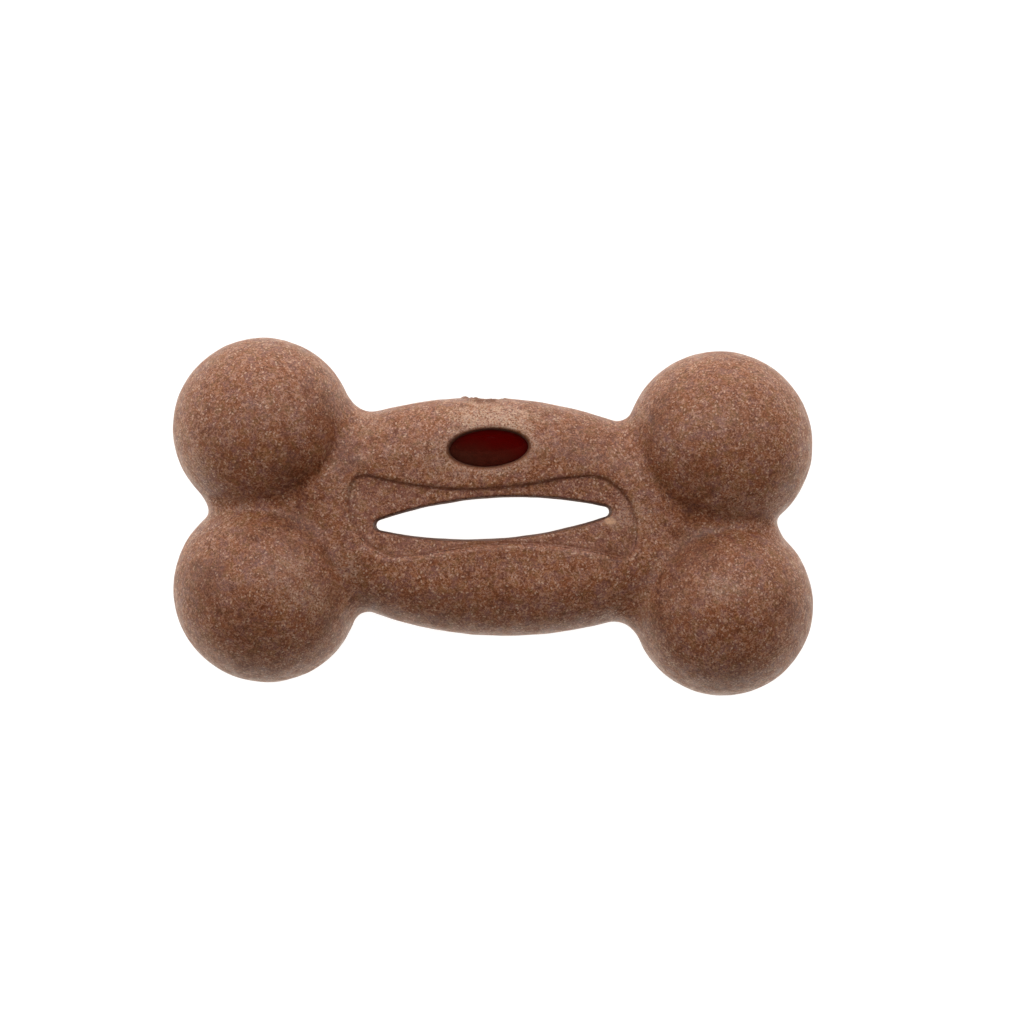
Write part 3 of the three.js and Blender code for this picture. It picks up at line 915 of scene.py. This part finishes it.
# Fibre colours, as linear red, green, blue and opacity
RED_BROWN = (0.260, 0.077, 0.026, 1)
MAUVE = (0.253, 0.103, 0.077, 1)
YELLOW_BROWN = (0.252, 0.107, 0.036, 1)
DARK_RUST = (0.160, 0.038, 0.008, 1)
DARK_GRAIN = (0.100, 0.026, 0.007, 1)
LIGHT_GRAIN = (0.400, 0.158, 0.080, 1)
DARK_HAIR = (0.092, 0.024, 0.006, 1)
TAN_HAIR = (0.485, 0.205, 0.100, 1)
GREY_HAIR = (0.510, 0.268, 0.180, 1)
BRIGHT_SPECK = (0.660, 0.430, 0.305, 1)
WASHED_FIBRE = (0.640, 0.445, 0.320, 1)
# Tint of the painted shade in the creases and under the fold, and of the dark blotches
SHADE_AND_BLOTCH_TINT = (0.66, 0.55, 0.44, 1)
# Painted shade on the rims of the recess wall, the window and the slot
RIM_SHADE_PAINT = (0.120, 0.030, 0.008, 1)
GATE_STAIN = (0.160, 0.075, 0.050, 1)
# Painted highlight beside the slot's right tip
TIP_HIGHLIGHT_PAINT = (0.700, 0.400, 0.235, 1)

# Hairs: the size of their breaks next to their own, and the noise at which one starts and is whole
HAIR_BREAK_SHARE = 0.7
HAIR_START = 0.95
HAIR_FULL = 1.07


def fibre_ground(s, place, grain):
    """Red-brown with clouds of mauve, as in the recess, yellow-brown and dark rust, and a fine grain."""
    mauve = s.ramp(s.noise(s.shifted(place, seed=61), size=2.8), 0.42, 0.62)
    mauve = s.calc("MAXIMUM", mauve, s.calc("MULTIPLY", s.mark("recess"), 0.75))
    yellow = s.ramp(s.noise(s.shifted(place, seed=62), size=2.2), 0.46, 0.66)
    rust = s.ramp(s.noise(s.shifted(place, seed=63), size=2.4, detail=3.0, roughness=0.6), 0.48, 0.66)
    colour = s.blend(mauve, RED_BROWN, MAUVE)
    colour = s.lay(YELLOW_BROWN, yellow, 0.85, colour)
    colour = s.lay(DARK_RUST, rust, 0.75, colour)
    colour = s.blend(s.ramp(grain, 0.50, 0.32, end=0.6), colour, DARK_GRAIN)
    return s.blend(s.ramp(grain, 0.50, 0.70, end=0.5), colour, LIGHT_GRAIN)


def tip_highlight_share(s, place, grain):
    middle = (TIP_HIGHLIGHT_X * MM, TIP_HIGHLIGHT_Y * MM, (MID_HEIGHT + BARREL_HALF_THICKNESS) * MM)
    weights = (1, TIP_HIGHLIGHT_SLIMNESS, TIP_HIGHLIGHT_HEIGHT_WEIGHT)
    away = s.vector("LENGTH", s.vector("MULTIPLY", s.vector("SUBTRACT", place, middle), weights))
    share = s.ramp(away, TIP_HIGHLIGHT_REACH * MM, TIP_HIGHLIGHT_FULL_REACH * MM)
    return s.calc("MULTIPLY", share, s.ramp(grain, 0.35, 0.65, start=0.60, end=0.95))


def fibre_material():
    s = Shader("fibre_composite_look")
    place = s.place()
    pale = s.mark("pale")
    rim_shade = s.mark("rim_shade")
    grain = s.noise(place, size=0.42, roughness=0.6)
    colour = fibre_ground(s, place, grain)

    # Hairs and chips of fibre, in patches and thicker where the fibre is pale
    dark = s.hairs(place, size=0.8, width=0.08, seed=51, share=0.46)
    patchy = s.ramp(s.noise(s.shifted(place, seed=64), size=2.4), 0.35, 0.65, start=-0.05, end=0.05)
    more = s.calc("ADD", patchy, s.ramp(pale, 0.0, 1.0, end=0.06))
    tan = s.calc("MAXIMUM",
                 s.hairs(place, size=0.72, width=0.08, seed=52, share=s.calc("ADD", more, 0.45)),
                 s.hairs(place, size=1.1, width=0.07, seed=53, share=s.calc("ADD", more, 0.44)))
    grey = s.calc("MAXIMUM",
                  s.hairs(place, size=0.82, width=0.08, seed=54, share=s.calc("ADD", more, 0.43)),
                  s.hairs(place, size=1.4, width=0.06, seed=55, share=s.calc("ADD", more, 0.44)))
    speck_share = s.ramp(pale, 0.0, 1.0, start=0.36, end=0.80)
    specks = s.chips(place, spacing=0.9, length=0.8, width=0.48, share=speck_share)
    colour = s.lay(DARK_HAIR, dark, 0.60, colour)
    colour = s.lay(TAN_HAIR, tan, 0.80, colour)
    colour = s.lay(GREY_HAIR, grey, 0.80, colour)
    colour = s.lay(BRIGHT_SPECK, specks, 0.75, colour)

    # Marks over the fibre
    washed = s.ramp(s.noise(s.shifted(place, seed=65), size=0.45, roughness=0.6), 0.43, 0.58)
    colour = s.lay(WASHED_FIBRE, s.calc("MULTIPLY", washed, pale), 0.62, colour)
    # Painted shade in the knobs' creases and under the fold, and the dark blotches, multiplied over the
    # fibre
    colour = s.blend(s.mark("crease_shade_and_dark_blotches"), colour, SHADE_AND_BLOTCH_TINT, "MULTIPLY")
    # Painted shade on the rims of the recess wall, the window and the slot
    colour = s.lay(RIM_SHADE_PAINT, rim_shade, 0.70, colour)
    colour = s.lay(GATE_STAIN, s.mark("scar"), 0.5, colour)
    # Painted highlight beside the slot's right tip
    colour = s.blend(tip_highlight_share(s, place, grain), colour, TIP_HIGHLIGHT_PAINT)

    # Raised fibres and an uneven sheen, dull on the rims with painted shade
    fibres = s.calc("MAXIMUM", s.calc("MAXIMUM", tan, grey), specks)
    height = s.calc("ADD", s.calc("MULTIPLY", fibres, 0.5), s.noise(place, size=0.35))
    bump = s.add("ShaderNodeBump", {"Height": height, "Strength": 0.6, "Distance": 0.06 * MM})
    sheen = s.ramp(s.noise(place, size=2.5, detail=3.0), 0.35, 0.65, start=0.38, end=0.54)
    return s.finish({
        "Base Color": colour,
        "Roughness": s.calc("ADD", sheen, s.calc("MULTIPLY", rim_shade, 0.42)),
        "Normal": bump.outputs["Normal"],
        "IOR": 1.5,
        "Specular IOR Level": 0.38,
    })


# Core: clear red above; below a cloudy line that leans a little, a painted reflection of the window's lit
# lower wall; and painted shade by the window's rim
CLEAR_RED = (0.068, 0.0004, 0.0003, 1)
DARK_WALL_REFLECTION = (0.022, 0.0065, 0.0036, 1)
LIGHT_WALL_REFLECTION = (0.052, 0.0150, 0.0085, 1)
CORE_SHADE = (0.008, 0.0010, 0.0007, 1)
REFLECTION_LEAN = 0.07
REFLECTION_CLOUD = 2.0
REFLECTION_START_Y = CORE_Y + 2.0
REFLECTION_FULL_Y = CORE_Y - 3.0


def core_material():
    s = Shader("clear_red_look")
    place = s.place()
    across = s.vector("DOT_PRODUCT", place, (REFLECTION_LEAN, 1, 0))
    cloud = s.calc("MULTIPLY", s.noise(place, size=3.0), REFLECTION_CLOUD * MM)
    reflected_share = s.ramp(s.calc("ADD", across, cloud), REFLECTION_START_Y * MM, REFLECTION_FULL_Y * MM)
    wall_reflection = s.blend(s.ramp(s.noise(place, size=0.45), 0.35, 0.65), DARK_WALL_REFLECTION, LIGHT_WALL_REFLECTION)
    # Painted reflection of the window's lit lower wall on the core's lower part
    colour = s.blend(reflected_share, CLEAR_RED, wall_reflection)
    # Painted shade on the core by the window's rim
    colour = s.lay(CORE_SHADE, s.mark("edge"), 0.85, colour)
    height = s.noise(place, size=0.8)
    bump = s.add("ShaderNodeBump", {"Height": height, "Strength": 0.25, "Distance": 0.02 * MM})
    return s.finish({
        "Base Color": colour,
        "Roughness": s.ramp(s.noise(place, size=2.2), 0.35, 0.7, start=0.06, end=0.16),
        "Normal": bump.outputs["Normal"],
        "IOR": 1.5,
        "Transmission Weight": 0.85,
    })


# Pieces
body_points, body_faces = body_mesh()
marks = {
    "pale": pale_patch(body_points),
    "crease_shade_and_dark_blotches": crease_shade_and_dark_blotches(body_points),
    "rim_shade": painted_rim_shade(body_points),
    "scar": scar_mark(body_points),
    "recess": recess_floor(body_points),
}
body = make_object("flecked_body", relief(body_points, body_faces), body_faces.tolist())
for mark_name, values in marks.items():
    store(body, mark_name, values)
body.data.materials.append(fibre_material())
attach(body, "root")
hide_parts("chew_body")

core_points, core_faces = pill_mesh()
core = make_object("glossy_core", core_points, core_faces)
# Where the core gets painted shade by the window's rim
store(core, "edge", smoothstep(-CORE_SHADE_REACH, 0, oval_distance(core_points[:, :2])))
core.data.materials.append(core_material())
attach(core, "root")
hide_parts("red_core")


# Stage: a table that looks white but for a painted contact shadow under the knobs, its own warmer glow on
# the bone, studio light and the camera
FLOOR_HALF = 4.0
TABLE_DROP = 0.2
BOUNCE_DROP = 0.3
SHEET_GREY = (0.2, 0.2, 0.2, 1)
TABLE_WHITE = (1.0, 0.995, 0.98, 1)
BOUNCE_WARM = (1.0, 0.93, 0.83, 1)

# Where the glow changes from its front to its near and from its near to its far strength
GLOW_FRONT_Y = -250.0
GLOW_FRONT_END_Y = -80.0
GLOW_NEAR_Y = -50.0
GLOW_FAR_Y = 250.0

# Painted contact shadow under each knob: how dim the glow is under a knob's middle, and the shares of its
# radius where that starts to fade and ends
UNDER_KNOB_SHADOW_GLOW = 0.25
UNDER_KNOB_START = 0.15
UNDER_KNOB_END = 0.85


def glowing(name, colour, front, near, far):
    """A surface whose glow differs in front of the bone, near it and behind it, with a painted contact
    shadow under the knobs.
    """
    s = Shader(name)
    place = s.place()
    depth = s.add("ShaderNodeSeparateXYZ", {"Vector": place}).outputs["Y"]
    in_front = s.ramp(depth, GLOW_FRONT_Y * MM, GLOW_FRONT_END_Y * MM, front, 1.0)
    glow = s.calc("MULTIPLY", in_front, s.ramp(depth, GLOW_NEAR_Y * MM, GLOW_FAR_Y * MM, near, far))
    # Painted contact shadow under each knob
    for knob_x, knob_y, radius in SMALL_KNOBS + LARGE_KNOBS:
        away = s.vector("LENGTH", s.vector("SUBTRACT", place, (knob_x * MM, knob_y * MM, 0)))
        start, end = UNDER_KNOB_START * radius * MM, UNDER_KNOB_END * radius * MM
        glow = s.calc("MULTIPLY", glow, s.ramp(away, start, end, UNDER_KNOB_SHADOW_GLOW, 1.0))
    return s.finish({
        "Base Color": SHEET_GREY,
        "Roughness": 0.9,
        "Emission Color": colour,
        "Emission Strength": glow,
    })


def floor_sheet(name, drop, material):
    corners = [(-1, -1), (1, -1), (1, 1), (-1, 1)]
    sheet = bpy.data.meshes.new(name)
    sheet.from_pydata([(x * FLOOR_HALF, y * FLOOR_HALF, -drop * MM) for x, y in corners], [], [(0, 1, 2, 3)])
    sheet.materials.append(material)
    made = bpy.data.objects.new(name, sheet)
    bpy.context.scene.collection.objects.link(made)
    return made


table_look = glowing("white_table", TABLE_WHITE, front=1.0, near=1.0, far=1.0)
table = floor_sheet("table", TABLE_DROP, table_look)
table.visible_diffuse = False
table.visible_glossy = False
bounce_look = glowing("table_glow", BOUNCE_WARM, front=0.20, near=1.38, far=1.25)
bounce = floor_sheet("bounce", BOUNCE_DROP, bounce_look)
bounce.visible_camera = False

AIM = Vector((0, 0, MID_HEIGHT * MM))


def soft_box(name, azimuth, elevation, width, height, strength):
    """A box a metre from the bone. Its strength is the glow that it alone gives a white card facing it."""
    data = bpy.data.lights.new(name, "AREA")
    data.shape = "RECTANGLE"
    data.size = width
    data.size_y = height
    data.energy = math.pi ** 2 * strength
    lamp = bpy.data.objects.new(name, data)
    turn, rise = math.radians(azimuth), math.radians(elevation)
    away = Vector((math.cos(turn) * math.cos(rise), math.sin(turn) * math.cos(rise), math.sin(rise)))
    lamp.location = AIM + away
    lamp.rotation_euler = away.to_track_quat("Z", "Y").to_euler()
    lamp.visible_camera = False
    bpy.context.scene.collection.objects.link(lamp)


soft_box("back_wall", azimuth=90, elevation=16, width=1.8, height=0.55, strength=0.47)
soft_box("left_wall", azimuth=165, elevation=12, width=0.6, height=0.4, strength=0.10)
soft_box("key_box", azimuth=90, elevation=59, width=1.0, height=0.24, strength=0.44)
soft_box("left_side", azimuth=175, elevation=41, width=0.7, height=0.5, strength=0.18)
soft_box("right_box", azimuth=18, elevation=39, width=0.8, height=0.5, strength=0.17)
soft_box("front_fill", azimuth=270, elevation=35, width=1.2, height=0.5, strength=0.08)

# World: a faint sky that is brighter at the horizon
HORIZON_GLOW = 0.16
SKY_GLOW = 0.05
SKY_RISE = 0.12
world = bpy.data.worlds.new("studio")
world.use_nodes = True
nodes = world.node_tree.nodes
links = world.node_tree.links
direction = nodes.new("ShaderNodeTexCoord")
upward = nodes.new("ShaderNodeSeparateXYZ")
links.new(direction.outputs["Generated"], upward.inputs[0])
dimming = nodes.new("ShaderNodeMapRange")
dimming.interpolation_type = "SMOOTHSTEP"
rise_and_glow = {"From Min": 0.0, "From Max": SKY_RISE, "To Min": HORIZON_GLOW, "To Max": SKY_GLOW}
for socket, value in rise_and_glow.items():
    dimming.inputs[socket].default_value = value
links.new(upward.outputs["Z"], dimming.inputs["Value"])
links.new(dimming.outputs["Result"], nodes["Background"].inputs["Strength"])
bpy.context.scene.world = world

# Camera: straight above, turned as the photograph is
LENS = 150.0
SENSOR = 36.0
VIEW_WIDTH = 237.5
VIEW_MIDDLE = (4.38, 1.24)
VIEW_TURN = math.radians(2.067)
camera_data = bpy.data.cameras.new("camera")
camera_data.lens = LENS
camera_data.sensor_width = SENSOR
camera = bpy.data.objects.new("camera", camera_data)
view_height = MID_HEIGHT + VIEW_WIDTH * LENS / SENSOR
camera.location = (VIEW_MIDDLE[0] * MM, VIEW_MIDDLE[1] * MM, view_height * MM)
camera.rotation_euler = (0, 0, VIEW_TURN)
bpy.context.scene.collection.objects.link(camera)
bpy.context.scene.camera = camera
bpy.context.scene.view_settings.view_transform = "Standard"
